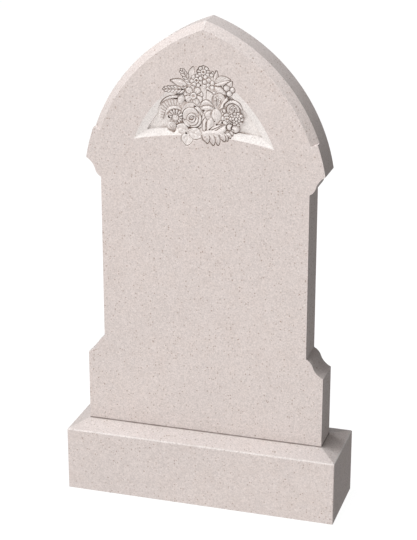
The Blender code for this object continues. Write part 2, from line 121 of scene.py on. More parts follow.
class Finish:
    """A node tree, and one method that adds any node to it."""

    def __init__(self, tree):
        self.tree = tree

    def node(self, kind, settings=None, inputs=None, output=0):
        """A node: its settings first, then the values or links of its sockets."""
        made = self.tree.nodes.new(kind)
        for name, value in (settings or {}).items():
            setattr(made, name, value)
        for name, value in (inputs or {}).items():
            self.feed(made.inputs[name], value)
        return Number(self, made.outputs[output]) if made.outputs else None

    def feed(self, socket, value):
        """Link a number that varies, or set a plain value."""
        if isinstance(value, Number):
            self.tree.links.new(value.socket, socket)
        else:
            socket.default_value = value

    def mix(self, share, first, second):
        """A colour between two colours."""
        return self.node("ShaderNodeMix", {"data_type": "RGBA"}, {0: share, 6: first, 7: second}, output=2)

    def scaled(self, colour, factor):
        """A colour made lighter or darker."""
        return self.node("ShaderNodeVectorMath", {"operation": "SCALE"}, {0: colour, "Scale": factor})


def new_finish(name):
    """A new material, its finish and its main shader."""
    material = bpy.data.materials.new(name)
    material.use_nodes = True
    return material, Finish(material.node_tree), material.node_tree.nodes["Principled BSDF"]


world = bpy.data.worlds.new("surround")
world.use_nodes = True
world.node_tree.nodes.clear()
bpy.context.scene.world = world
surround = Finish(world.node_tree)
outlook = surround.node("ShaderNodeNewGeometry", output="Incoming")
facing = surround.node("ShaderNodeVectorMath", {"operation": "DOT_PRODUCT"}, {0: outlook, 1: -TENT_SIDE},
                       output="Value")
glow = facing.math("MAXIMUM", facing * TENT_SLOPE + TENT_LIGHT, TENT_LEAST)
tent = surround.node("ShaderNodeBackground", {}, {"Color": TENT_COLOUR, "Strength": glow})
white = surround.node("ShaderNodeBackground", {}, {"Color": (1, 1, 1, 1), "Strength": BACKDROP_WHITE})
seen_plain = surround.node("ShaderNodeLightPath", output="Is Camera Ray")
either = surround.node("ShaderNodeMixShader", {}, {0: seen_plain, 1: tent, 2: white})
surround.node("ShaderNodeOutputWorld", {}, {"Surface": either})

floor_mesh = bpy.data.meshes.new("floor")
reach = FLOOR_SIZE / 2
floor_mesh.from_pydata([(-reach, -reach, 0), (reach, -reach, 0), (reach, reach, 0), (-reach, reach, 0)],
                       [], [(0, 1, 2, 3)])
floor = bpy.data.objects.new("floor", floor_mesh)
floor.visible_diffuse = False
floor.visible_shadow = False
bpy.context.scene.collection.objects.link(floor)
floor_material, _, floor_shader = new_finish("pale floor")
floor_shader.inputs["Base Color"].default_value = (FLOOR_TONE, FLOOR_TONE, FLOOR_TONE, 1)
floor_shader.inputs["Roughness"].default_value = 1.0
floor_shader.inputs["Specular IOR Level"].default_value = 0.0
floor_shader.inputs["Emission Color"].default_value = (1, 1, 1, 1)
floor_shader.inputs["Emission Strength"].default_value = FLOOR_GLOW
floor_mesh.materials.append(floor_material)


# The base: one block of fine pale limestone, sawn square, its top worked to a slight fall towards all
# four sides so that rain runs off it, then rubbed smooth. It lies on the ground by its own weight.
BASE_WIDTH = 0.610
BASE_DEPTH = 0.178
BASE_SIDE_HEIGHT = 0.145
BASE_WEATHERING = 0.015
BASE_ARRIS = 0.0022
BASE_CORNER = 0.0022
BASE_FOOT_ROUNDING = ((0.0012, 0.0), (0.0003, 0.0005), (0.0, 0.0016))
SEAT_WIDTH = 0.531
SEAT_DEPTH = 0.075
SEAT_Y = -0.0072
SEAT_Z = BASE_SIDE_HEIGHT + BASE_WEATHERING
SEAT_CORNER = 0.0005
EDGE_PITCH = 0.005
WEAR = 0.00035
WEAR_PITCH = 90
BASE_FLAT_AREA = 0.000025
BASE_ARRIS_AREA = 0.000008
BASE_JOINT_SHADE_REACH = 0.0010
STONE_LIGHT = (0.610, 0.553, 0.534, 1)
STONE_WARM = (0.575, 0.506, 0.476, 1)
STONE_SPECK = (0.300, 0.210, 0.165, 1)
STONE_DARK_SPECK = (0.130, 0.095, 0.080, 1)
STONE_FLECK = (0.800, 0.770, 0.750, 1)
# Newly cut stone; the same colour also paints highlight on ridges and arrises
STONE_FRESH_AND_HIGHLIGHT = (0.775, 0.748, 0.732, 1)
# Painted shade in the carving's crevices, browned as dirt
STONE_SHADE_AND_DIRT = (0.330, 0.240, 0.195, 1)
# Painted shade along the joint between the stones
STONE_JOINT_SHADE = (0.120, 0.085, 0.068, 1)


def base_ring(half_width, half_depth, middle_y, z, corner):
    """A rectangle with small round corners, its points at an even pitch along each side."""
    across = round(BASE_WIDTH / EDGE_PITCH)
    along = round(BASE_DEPTH / EDGE_PITCH)
    sides = (((-1, -1), (1, 0), across), ((1, -1), (0, 1), along), ((1, 1), (-1, 0), across),
             ((-1, 1), (0, -1), along))
    ring = []
    for (x, y), (step_x, step_y), count in sides:
        start = Vector((x * half_width, middle_y + y * half_depth))
        length = 2 * (half_width if step_x else half_depth)
        direction = Vector((step_x, step_y))
        inward = Vector((-step_y, step_x))
        for turn in (0.15, 0.5, 0.85):
            swing = math.pi / 2 * (turn - 1)
            heading = direction * math.sin(swing) - inward * math.cos(swing)
            ring.append(start + (direction + inward + heading) * corner)
        for index in range(count + 1):
            ring.append(start + direction * (corner + (length - 2 * corner) * index / count))
    return [Vector((point.x, point.y, z)) for point in ring]


def skin(mesh, rows):
    """Faces between rings of points, with both ends closed."""
    lines = [[mesh.verts.new(point) for point in ring] for ring in rows]
    for lower, upper in zip(lines, lines[1:]):
        for index in range(len(lower)):
            after = (index + 1) % len(lower)
            mesh.faces.new((lower[index], lower[after], upper[after], upper[index]))
    mesh.faces.new(list(reversed(lines[0])))
    mesh.faces.new(lines[-1])


def made_piece(name, mesh):
    """An object with this mesh, its faces turned outwards."""
    bmesh.ops.recalc_face_normals(mesh, faces=mesh.faces)
    data = bpy.data.meshes.new(name)
    mesh.to_mesh(data)
    mesh.free()
    piece = bpy.data.objects.new(name, data)
    bpy.context.scene.collection.objects.link(piece)
    return piece


def limestone(name, joint_shade_from, joint_shade_rise, smudge):
    """Fine limestone: mottled, specked, paler where newly cut, with painted highlight, painted shade and dirt
    in crevices, and painted shade at its joint.
    """
    material, stone, shader = new_finish(name)
    fresh_cut_and_highlight = stone.node("ShaderNodeAttribute", {"attribute_name": "fresh_cut_and_highlight"}, output="Fac")
    crevice_shade_and_dirt = stone.node("ShaderNodeAttribute", {"attribute_name": "crevice_shade_and_dirt"}, output="Fac")
    where = stone.node("ShaderNodeTexCoord", output="Object")

    def clouds(scale, detail, roughness=0.5):
        """Soft noise about a half."""
        return stone.node("ShaderNodeTexNoise", {}, {
            "Vector": where, "Scale": scale, "Detail": detail, "Roughness": roughness})

    def spots(scale, share, largest, softness):
        """Round spots in some of the cells of a scatter, from nothing up to a largest size."""
        shift = stone.node("ShaderNodeTexNoise", {}, {
            "Vector": where, "Scale": scale * 2.2, "Detail": 1}, output="Color")
        moved = stone.node("ShaderNodeVectorMath", {"operation": "MULTIPLY_ADD"}, {
            0: shift, 1: (0.35 / scale,) * 3, 2: where})
        cells = stone.node("ShaderNodeTexVoronoi", {}, {"Vector": moved, "Scale": scale})
        chance = stone.node("ShaderNodeSeparateColor", {}, {0: cells.other("Color")})
        size = (chance - (1 - share)) * (largest / share)
        return ((size - cells) * (1 / softness)).held()

    broad = clouds(6, 3)
    patch = clouds(38, 3, 0.6)
    mottle = clouds(320, 2, 0.7)
    fine = clouds(1100, 2, 0.6)
    small_specks = spots(210, 0.42, 0.42, 0.12)
    specks = spots(75, 0.30, 0.16, 0.05)
    dark_specks = spots(26, 0.28, 0.060, 0.022)
    flecks = spots(130, 0.35, 0.26, 0.10)

    warmth = ((patch - 0.42) * 2.0 + (broad - 0.5) * 1.5).held()
    colour = stone.mix(warmth * 0.6, STONE_LIGHT, STONE_WARM)
    # Paler where newly cut, plus a painted highlight on the carving's ridges and on arrises
    colour = stone.mix(fresh_cut_and_highlight * 0.92, colour, STONE_FRESH_AND_HIGHLIGHT)
    tone = (mottle - 0.5) * 0.80 + (fine - 0.5) * 0.40 + (broad - 0.5) * 0.14 + 1.05
    colour = stone.scaled(colour, tone)
    keep = 1 - fresh_cut_and_highlight * 0.55
    colour = stone.mix(flecks * 0.50, colour, STONE_FLECK)
    colour = stone.mix(small_specks * keep * 0.62, colour, STONE_SPECK)
    colour = stone.mix(specks * keep * 0.70, colour, STONE_SPECK)
    colour = stone.mix(dark_specks * keep * 0.85, colour, STONE_DARK_SPECK)
    stain = ((clouds(14, 4, 0.7) - 0.58) * 6).held()
    colour = stone.mix(stain * smudge, colour, STONE_WARM)
    # Painted shade in the crevices, browned as dirt, varied a little by the mottle
    shade_and_dirt_share = (crevice_shade_and_dirt * ((patch - 0.5) * 0.5 + 1)).held()
    colour = stone.mix(shade_and_dirt_share, colour, STONE_SHADE_AND_DIRT)
    level = stone.node("ShaderNodeSeparateXYZ", {}, {0: where}, output="Z")
    # Painted shade in a band a few millimetres wide along the joint between the stones
    joint_shade = ((level - joint_shade_from) * joint_shade_rise + (patch - 0.5) * 0.8).held()
    colour = stone.mix(joint_shade * 0.72, colour, STONE_JOINT_SHADE)
    stone.feed(shader.inputs["Base Color"], colour)
    stone.feed(shader.inputs["Roughness"], ((mottle - 0.5) * 0.25 + 0.84).held())
    shader.inputs["Specular IOR Level"].default_value = 0.30
    relief = mottle * 0.9 + fine * 0.5 - small_specks * 0.5 - specks * 0.9 - dark_specks * 1.2
    bump = stone.node("ShaderNodeBump", {}, {"Strength": 0.5, "Distance": 0.00035, "Height": relief})
    stone.feed(shader.inputs["Normal"], bump)
    return material


def shade(piece, sharp_degrees, flat_area):
    """Smooth shading that keeps sharp edges, and leaves large sawn faces flat."""
    piece.data.shade_smooth()
    piece.data.set_sharp_from_angle(angle=math.radians(sharp_degrees))
    for face in piece.data.polygons:
        face.use_smooth = face.area < flat_area


def paint(piece, name, value_at):
    """Store a value at every corner of every face, for the finish to read."""
    layer = piece.data.attributes.new(name, "FLOAT", "CORNER")
    for face in piece.data.polygons:
        for corner in face.loop_indices:
            layer.data[corner].value = value_at(face, piece.data.loops[corner].vertex_index)


half_width = BASE_WIDTH / 2
half_depth = BASE_DEPTH / 2
arris_z = BASE_SIDE_HEIGHT - BASE_ARRIS
base_rows = []
for inset, z in BASE_FOOT_ROUNDING:
    base_rows.append(base_ring(half_width - inset, half_depth - inset, 0, z, BASE_CORNER))
for share in (0.25, 0.5, 0.75, 1):
    base_rows.append(base_ring(half_width, half_depth, 0, share * arris_z, BASE_CORNER))
for degrees in (30, 60, 90):
    inset = BASE_ARRIS * (1 - math.cos(math.radians(degrees)))
    rise = BASE_ARRIS * math.sin(math.radians(degrees)) + inset * 0.3
    ring = base_ring(half_width - inset, half_depth - inset, 0, arris_z + rise, BASE_CORNER)
    for point in ring:
        point.z -= WEAR * max(noise.noise(point * WEAR_PITCH) + 0.3, 0)
    base_rows.append(ring)
brim = base_rows[-1]
seat = base_ring(SEAT_WIDTH / 2, SEAT_DEPTH / 2, SEAT_Y, SEAT_Z, SEAT_CORNER)
for share in (0.12, 0.5, 0.94, 1):
    base_rows.append([low.lerp(high, share) for low, high in zip(brim, seat)])
base_mesh = bmesh.new()
skin(base_mesh, base_rows)
base = made_piece("base_block", base_mesh)
shade(base, 35, BASE_FLAT_AREA)
# The base's arrises are painted paler: painted highlight, partly wear
paint(base, "fresh_cut_and_highlight", lambda face, vertex: 0.5 if face.area < BASE_ARRIS_AREA else 0.0)
base.data.materials.append(limestone("base limestone", SEAT_Z - BASE_JOINT_SHADE_REACH, joint_shade_rise=1000,
                                     smudge=0.5))
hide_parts("base")
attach(base, "root")


# The tablet: one upright slab of the same limestone on a fine mortar joint. It is sawn to a pointed
# head, ogee shoulders and a waist, its head chamfered and its panel sunk with chisels and rubbed. The
# bouquet is carved in the panel and left paler than the old faces round it, with painted highlight on
# its ridges and painted shade, browned as dirt, in its hollows; shade is painted along the joint too.
FACE_Y = -BASE_DEPTH / 2 + 0.0443
THICKNESS = 0.075
FOOT_Z = SEAT_Z + 0.0003
FOOT_WIDTH = 0.531
FOOT_HEIGHT = 0.1585
SHOULDER_HEIGHT = 0.041
WAIST_WIDTH = 0.455
WAIST_HEIGHT = 0.365
ARCH_WIDTH = 0.520
ARCH_RISE = 0.3045
ARCH_RADIUS = 0.392
CHAMFER = 0.0153
CHAMFER_STOP_RISE = 0.067
PANEL_MARGIN = 0.0894
PANEL_SPLAY = 0.0165
PANEL_SPLAY_DEPTH = 0.0065
PANEL_DEPTH = 0.015
PANEL_SILL_RISE = 0.0665
PANEL_SILL_RADIUS = 0.700
PANEL_LEDGE = 0.0145
BOUQUET_RISE = 0.063
SLAB_ARRIS = 0.0010
CLEARANCE = 0.006
SHOULDER_Z = FOOT_Z + FOOT_HEIGHT + SHOULDER_HEIGHT + WAIST_HEIGHT + SHOULDER_HEIGHT
APEX_Z = SHOULDER_Z + ARCH_RISE
SILL_Z = SHOULDER_Z + PANEL_SILL_RISE
BOUQUET_Z = SILL_Z + BOUQUET_RISE
BOUQUET_REACH = 0.095
UNIT = 0.001
ROOT_DEPTH = 0.0225
CARVED_DEPTH = 0.02
CARVED_AREA = 0.00006
ARRIS_AREA = 0.000022
GROOVE = 1.3
GROOVE_DEPTH = 1.5
HOLLOW_SHARE = 0.6
OGEE_SWING = math.radians(24)
ARCH_STEPS = 60
OGEE_STEPS = 8
OUTLINE_PITCH = 0.008
TABLET_JOINT_SHADE_REACH = 0.0024


def angle_at(centre, point):
    """The polar angle of a point about a centre."""
    return math.atan2(point.y - centre.y, point.x - centre.x)


def arc(centre, radius, start, end, steps):
    """Points along an arc, both ends included."""
    angles = [start + (end - start) * step / steps for step in range(steps + 1)]
    return [centre + Vector((math.cos(angle), math.sin(angle))) * radius for angle in angles]


def bulge(start, end, swing, steps):
    """An arc from start to end that leaves its chord by the angle swing, to the left where positive."""
    chord = end - start
    left = Vector((-chord.y, chord.x)).normalized()
    rise = chord.length / 2 * math.tan(abs(swing) / 2)
    radius = chord.length / 2 / math.sin(abs(swing))
    side = math.copysign(1, swing)
    centre = (start + end) / 2 + left * side * (rise - radius)
    begin = angle_at(centre, start)
    return arc(centre, radius, begin, begin - side * 2 * abs(swing), steps)


def ogee(tip, neck):
    """A shoulder: hollow beside its tip and round beside the waist, read from tip to neck."""
    turn = tip + (neck - tip) * HOLLOW_SHARE
    side = 1 if neck.y > tip.y else -1
    hollow = bulge(tip, turn, OGEE_SWING * side, OGEE_STEPS)
    return hollow + bulge(turn, neck, -OGEE_SWING * side, OGEE_STEPS)[1:]


def evenly(points, pitch):
    """The same outline with points added along its long straight runs."""
    spaced = []
    for point, after in zip(points, points[1:] + points[:1]):
        count = max(1, round((after - point).length / pitch))
        spaced += [point.lerp(after, index / count) for index in range(count)]
    return spaced


def mirrored(points):
    """The same points on the other side of the slab, in reverse order."""
    return [Vector((-point.x, point.y)) for point in reversed(points)]


arch_tip = Vector((ARCH_WIDTH / 2, SHOULDER_Z))
apex = Vector((0, APEX_Z))
arch_chord = apex - arch_tip
arch_reach = math.sqrt(ARCH_RADIUS ** 2 - (arch_chord.length / 2) ** 2)
ARCH_CENTRE = (arch_tip + apex) / 2 + Vector((-arch_chord.y, arch_chord.x)).normalized() * arch_reach

foot_tip = Vector((FOOT_WIDTH / 2, FOOT_Z + FOOT_HEIGHT))
waist_low = Vector((WAIST_WIDTH / 2, foot_tip.y + SHOULDER_HEIGHT))
waist_high = Vector((WAIST_WIDTH / 2, waist_low.y + WAIST_HEIGHT))
right_side = [Vector((FOOT_WIDTH / 2, FOOT_Z))] + ogee(foot_tip, waist_low)
right_side += list(reversed(ogee(arch_tip, waist_high)))
right_side += arc(ARCH_CENTRE, ARCH_RADIUS, angle_at(ARCH_CENTRE, arch_tip), angle_at(ARCH_CENTRE, apex),
                  ARCH_STEPS)[1:-1]
slab_outline = evenly(right_side + [apex] + mirrored(right_side), OUTLINE_PITCH)


def standing(outline, depth):
    """An outline drawn on the slab's face, placed at a depth behind it."""
    return [Vector((point.x, FACE_Y + depth, point.y)) for point in outline]


def panel_ring(splay, ledge):
    """The panel's outline, drawn in by a splay along the arch and lifted by a ledge at the sill."""
    radius = ARCH_RADIUS - PANEL_MARGIN - splay
    sill_radius = PANEL_SILL_RADIUS + ledge
    sill_centre = Vector((0, SILL_Z - PANEL_SILL_RADIUS))
    between = sill_centre - ARCH_CENTRE
    along = (between.length ** 2 + radius ** 2 - sill_radius ** 2) / (2 * between.length)
    sideways = Vector((-between.y, between.x)).normalized() * math.sqrt(radius ** 2 - along ** 2)
    middle = ARCH_CENTRE + between.normalized() * along
    corner = max(middle + sideways, middle - sideways, key=lambda point: point.x)
    right = arc(ARCH_CENTRE, radius, angle_at(ARCH_CENTRE, corner), math.acos(-ARCH_CENTRE.x / radius), 40)
    corner_angle = angle_at(sill_centre, corner)
    sill = arc(sill_centre, sill_radius, math.pi - corner_angle, corner_angle, 36)
    return right + mirrored(right)[1:] + sill[1:-1]


def apply_boolean(target, operation, tools, solver):
    """Cut or add solids, leave the result as the target's mesh and remove the solids."""
    collection = bpy.data.collections.new("tools")
    bpy.context.scene.collection.children.link(collection)
    for tool in tools:
        bpy.context.scene.collection.objects.unlink(tool)
        collection.objects.link(tool)
    modifier = target.modifiers.new("chisel", "BOOLEAN")
    modifier.operation = operation
    modifier.operand_type = "COLLECTION"
    modifier.collection = collection
    modifier.solver = solver
    shaped = bpy.data.meshes.new_from_object(target.evaluated_get(bpy.context.evaluated_depsgraph_get()))
    target.modifiers.clear()
    rough = target.data
    target.data = shaped
    bpy.data.meshes.remove(rough)
    for tool in tools:
        spent = tool.data
        bpy.data.objects.remove(tool, do_unlink=True)
        bpy.data.meshes.remove(spent)
    bpy.data.collections.remove(collection)


slab_mesh = bmesh.new()
skin(slab_mesh, [standing(slab_outline, 0), standing(slab_outline, THICKNESS)])
tablet = made_piece("tablet_stone", slab_mesh)

first_cuts = []
stop_angle = math.asin((SHOULDER_Z + CHAMFER_STOP_RISE - ARCH_CENTRE.y) / ARCH_RADIUS)
apex_angle = angle_at(ARCH_CENTRE, apex) + CHAMFER / ARCH_RADIUS
wedge = ((ARCH_RADIUS - CHAMFER - CLEARANCE, -CLEARANCE), (ARCH_RADIUS + CLEARANCE, CHAMFER + CLEARANCE),
         (ARCH_RADIUS + CLEARANCE, -CLEARANCE))
for side in (-1, 1):
    rings = []
    for step in range(ARCH_STEPS + 1):
        angle = stop_angle + (apex_angle - stop_angle) * step / ARCH_STEPS
        rings.append([Vector((side * (ARCH_CENTRE.x + math.cos(angle) * reach), FACE_Y + depth,
                              ARCH_CENTRE.y + math.sin(angle) * reach)) for reach, depth in wedge])
    mesh = bmesh.new()
    skin(mesh, rings)
    first_cuts.append(made_piece("chamfer_cut", mesh))
over = -CLEARANCE / PANEL_SPLAY_DEPTH
panel_floor = panel_ring(PANEL_SPLAY, PANEL_LEDGE)
mesh = bmesh.new()
skin(mesh, [standing(panel_ring(PANEL_SPLAY * over, PANEL_LEDGE * over), -CLEARANCE),
            standing(panel_floor, PANEL_SPLAY_DEPTH), standing(panel_floor, PANEL_DEPTH)])
first_cuts.append(made_piece("panel_cut", mesh))
apply_boolean(tablet, "DIFFERENCE", first_cuts, "EXACT")

mesh = bmesh.new()
mesh.from_mesh(tablet.data)
bmesh.ops.remove_doubles(mesh, verts=mesh.verts, dist=0.00002)
corners = [edge for edge in mesh.edges
           if len(edge.link_faces) == 2 and edge.calc_face_angle() > math.radians(22)]
bmesh.ops.bevel(mesh, geom=corners, offset=SLAB_ARRIS, segments=2, profile=0.5, affect="EDGES",
                clamp_overlap=True)
mesh.to_mesh(tablet.data)
mesh.free()

# The view from the right and above makes what lies deeper seem to stand further right and higher,
# so each form is set back by that much to lie where it is seen
LEAN = Vector((0.31, 0.265))
grounds = []
layers = []
covered = {}
drillings = []


def carved(point, level):
    """A point of the bouquet, in millimetres from its middle. Level 0 is the face, -15 the panel's floor."""
    return Vector((point.x * UNIT, FACE_Y - level * UNIT, BOUQUET_Z + point.y * UNIT))


def close_down(mesh, rim):
    """Carry a surface's rim straight back into the stone and close it there."""
    ring = [mesh.verts.new((vert.co.x, FACE_Y + ROOT_DEPTH, vert.co.z)) for vert in rim]
    for index in range(len(rim)):
        after = (index + 1) % len(rim)
        mesh.faces.new((rim[index], rim[after], ring[after], ring[index]))
    mesh.faces.new(list(reversed(ring)))


def offset_ring(outline, gap, level):
    """An outline moved outwards and placed at a level."""
    return [carved(point, level) for point in widened(outline, gap)]


def widened(outline, gap):
    """An outline moved outwards."""
    ring = []
    for index, point in enumerate(outline):
        chord = outline[(index + 1) % len(outline)] - outline[index - 1]
        ring.append(point + Vector((chord.y, -chord.x)).normalized() * gap)
    return ring


def within(x, y, outline):
    """Whether a point lies inside a closed outline."""
    inside = False
    for start, end in zip(outline, outline[1:] + outline[:1]):
        if (start.y > y) != (end.y > y):
            crossing = start.x + (end.x - start.x) * (y - start.y) / (end.y - start.y)
            inside = inside != (x < crossing)
    return inside


def lay(form, outline, level, width, cut):
    """Lay a form over all that it covers so far, with a groove cut round it where asked."""
    gap = GROOVE * min(0.8 + width / 16, 2)
    edge = widened(outline, gap)
    columns = range(math.floor(min(point.x for point in edge)), math.ceil(max(point.x for point in edge)) + 1)
    lines = range(math.floor(min(point.y for point in edge)), math.ceil(max(point.y for point in edge)) + 1)
    cells = [(x, y) for x in columns for y in lines if within(x, y, edge)]
    height = 1 + max((covered.get(cell, -1) for cell in cells), default=-1)
    for cell in cells:
        covered[cell] = height
    while len(layers) <= height:
        layers.append(([], []))
    if cut:
        mesh = bmesh.new()
        skin(mesh, [offset_ring(outline, gap * 1.1, 2), offset_ring(outline, gap, min(level + 1.5, 0.2)),
                    offset_ring(outline, GROOVE * 0.45, level - GROOVE_DEPTH)])
        layers[height][0].append(made_piece("groove", mesh))
    layers[height][1].append(form)


ACROSS = (-1, -0.95, -0.84, -0.66, -0.44, -0.22, -0.08, 0, 0.08, 0.22, 0.44, 0.66, 0.84, 0.95, 1)
ROLL = 0.8


def rolled(reach):
    """How far a form's edge is rounded down, by its distance out from the middle, 0 to 1."""
    return ROLL * max(0, (reach - 0.8) / 0.2) ** 2


def ribbon(axis, half_width, edge_level, crown, ridge=0.0, rows=14, relief=None):
    """A leaf or petal: a strip along an axis with a round section, fine relief and rolled edges."""
    mesh = bmesh.new()
    grid = []
    shares = [0, 0.02] + [0.05 + 0.9 * row / rows for row in range(rows + 1)] + [0.98, 1]
    fullest = max(half_width(share) for share in shares)
    for share in shares:
        along = axis(min(share + 0.01, 1)) - axis(max(share - 0.01, 0))
        side = Vector((-along.y, along.x)).normalized() * half_width(share)
        swell = crown * min(half_width(share) / fullest * 1.15, 1)
        line = []
        for across in ACROSS:
            off = (across - ridge) / (1 + ridge if across < ridge else 1 - ridge)
            level = edge_level(share) + swell * (1 - abs(off) ** 1.7)
            level -= rolled(abs(across)) + rolled(abs(2 * share - 1) ** 1.5) * 0.6
            if relief:
                level += relief(share, off)
            line.append(mesh.verts.new(carved(axis(share) + side * across, level)))
        grid.append(line)
    for lower, upper in zip(grid, grid[1:]):
        for column in range(len(ACROSS) - 1):
            mesh.faces.new((lower[column], lower[column + 1], upper[column + 1], upper[column]))
    rim = [line[0] for line in grid] + grid[-1][1:-1]
    rim += [line[-1] for line in reversed(grid)] + list(reversed(grid[0][1:-1]))
    close_down(mesh, rim)
    return made_piece("form", mesh)


def vein(depth, width=0.07):
    """A groove along the middle of a leaf."""
    return lambda share, off: -depth * math.exp(-(off / width) ** 2) * (1 - share) ** 0.25


def keel(height):
    """A sharp ridge along the middle of a leaf with a plane on each side."""
    return lambda share, off: height * (1 - abs(off)) * min(1, 5 * share, 4 * (1 - share))


def fold(depth):
    """A valley along the middle of a leaf with a plane on each side and a vein cut in its bottom."""
    return lambda share, off: (-(depth * (1 - abs(off)) + 0.7 * math.exp(-(off / 0.07) ** 2))
                               * min(1, 5 * share, 4 * (1 - share)))


def nerves(count, depth):
    """A folded leaf with side veins that lean towards its tip."""
    def relief(share, off):
        """Change of level at a place on the leaf."""
        groove = 0.5 + 0.5 * math.cos(math.tau * (share - 0.3 * abs(off)) * count)
        side = 1.5 * groove ** 2 * min(1, abs(off) * 4) * (1 - off ** 4)
        return -((depth * (1 - abs(off)) + 1.8 * math.exp(-(off / 0.13) ** 2) + side)
                 * min(1, 5 * share, 4 * (1 - share)))
    return relief


def flutes(count, depth):
    """Furrows that run the length of a petal."""
    return lambda share, off: (-depth * (0.5 - 0.5 * math.cos(math.pi * count * off))
                               * math.sin(math.pi * share ** 0.7))


def ribs(count, depth):
    """Furrows straight across a curled leaf."""
    return lambda share, off: (-depth * (0.5 + 0.5 * math.cos(math.tau * count * share)) ** 2
                               * (1 - off * off * 0.5))


def strip_outline(axis, half_width, rows=12):
    """The outline of a strip, turning left."""
    right, left = [], []
    for row in range(rows + 1):
        share = row / rows
        along = axis(min(share + 0.01, 1)) - axis(max(share - 0.01, 0))
        side = Vector((-along.y, along.x)).normalized() * half_width(share)
        right.append(axis(share) - side)
        left.append(axis(share) + side)
    return right + list(reversed(left))


def leaf(base, tip, width, level, crown=3.0, bend=0.0, widest=0.5, fullness=1.0, ridge=0.0,
         teeth=0, relief=None, rows=12, cut=True):
    """A leaf or petal from base to tip. level gives its edges' level at both ends."""
    back = LEAN * (level[0] + level[1]) / 2
    start, end = Vector(base) + back, Vector(tip) + back
    chord = end - start
    control = (start + end) / 2 + Vector((-chord.y, chord.x)) * bend
    power = math.log(0.5) / math.log(widest)

    def axis(share):
        """The middle line, a bent curve."""
        return start * (1 - share) ** 2 + control * 2 * share * (1 - share) + end * share ** 2

    def half_width(share):
        """Half the width, with teeth along it where the leaf has them."""
        swell = math.sin(math.pi * share ** power) if 0 < share < 1 else 0
        half = width / 2 * max(swell, 0) ** fullness
        if teeth and 0 < share < 1:
            half *= 1 - 0.3 * (1 - (share * teeth) % 1)
        return max(half, 0.3)

    def edge_level(share):
        """The level of the leaf's edges."""
        return level[0] + (level[1] - level[0]) * share

    form = ribbon(axis, half_width, edge_level, crown, ridge, rows if not teeth else 8 * teeth, relief)
    lay(form, strip_outline(axis, half_width), min(level), width, cut)


def crescent(centre, radius, start, end, width, level, crown=3.0, ridge=0.0, rows=16, relief=None,
             grow=0.0):
    """A curled petal edge: a strip along an arc of a circle, tapering to both ends. Angles in degrees."""
    middle = Vector(centre) + LEAN * level

    def axis(share):
        """The arc, which may open or close as it goes."""
        angle = math.radians(start + (end - start) * share)
        return middle + Vector((math.cos(angle), math.sin(angle))) * (radius + grow * share)

    def half_width(share):
        """Half the width, narrow at both ends."""
        return max(width / 2 * math.sin(math.pi * min(max(share, 0), 1)) ** 0.5, 0.3)

    form = ribbon(axis, half_width, lambda share: level, crown, ridge, rows, relief)
    lay(form, strip_outline(axis, half_width, 20), level, width, True)


def circle(middle, radius, sides):
    """Corners of a round outline."""
    turns = [math.tau * index / sides for index in range(sides)]
    return [middle + Vector((math.cos(turn), math.sin(turn))) * radius for turn in turns]


def dome(middle, radius, profile, sides):
    """A round solid. profile lists its level at shares of the radius, from the middle outwards."""
    mesh = bmesh.new()
    hub = mesh.verts.new(carved(middle, profile[0][1]))
    rings = []
    for share, level in profile[1:]:
        edge = circle(middle, radius * share, sides)
        rings.append([mesh.verts.new(carved(point, level)) for point in edge])
    for index in range(sides):
        after = (index + 1) % sides
        mesh.faces.new((hub, rings[0][index], rings[0][after]))
        for inner, outer in zip(rings, rings[1:]):
            mesh.faces.new((inner[index], outer[index], outer[after], inner[after]))
    close_down(mesh, rings[-1])
    return made_piece("form", mesh)


def ground(centre, radius, profile):
    """Stone left standing behind the flowers."""
    grounds.append(dome(Vector(centre), radius, profile, 48))


def boss(centre, radius, profile, sides=24, cut=True):
    """A round form with a groove round it."""
    middle = Vector(centre) + LEAN * profile[-1][1]
    lay(dome(middle, radius, profile, sides), circle(middle, radius, sides), profile[-1][1],
        min(radius, 6), cut)


def berry(centre, radius, top, sides=20, cut=True):
    """A ball, its top at a level."""
    profile = []
    for degrees in (0, 18, 36, 54, 70, 82, 90):
        lean = math.radians(degrees)
        profile.append((math.sin(lean), top - radius * (1 - math.cos(lean)) * 0.9))
    boss(centre, radius, profile, sides, cut)


def cup(centre, radius, hollow, rim, foot, share=0.7):
    """A round cup: a hollow inside a raised round rim."""
    boss(centre, radius, [(0, hollow), (share * 0.45, hollow + 0.2), (share * 0.75, (hollow + rim) / 2),
                          (share * 0.92, rim - 0.3), (share * 1.08, rim), (0.94, rim - 0.6), (1, foot)])


def blossom(centre, radius, petals, width, level, turn, start, crown, fullness=0.6, rows=9,
            relief=None):
    """Petals set round a centre. turn is the first petal's angle in degrees."""
    middle = Vector(centre)
    for index in list(range(0, petals, 2)) + list(range(1, petals, 2)):
        angle = math.radians(turn) + math.tau * index / petals
        reach = Vector((math.cos(angle), math.sin(angle)))
        lift = 0.4 * (index % 2)
        levels = (level[0] + lift, level[1] + lift)
        leaf(middle + reach * radius * start, middle + reach * radius, width, levels, crown, widest=0.6,
             fullness=fullness, rows=rows, relief=relief or vein(0.8, 0.1))


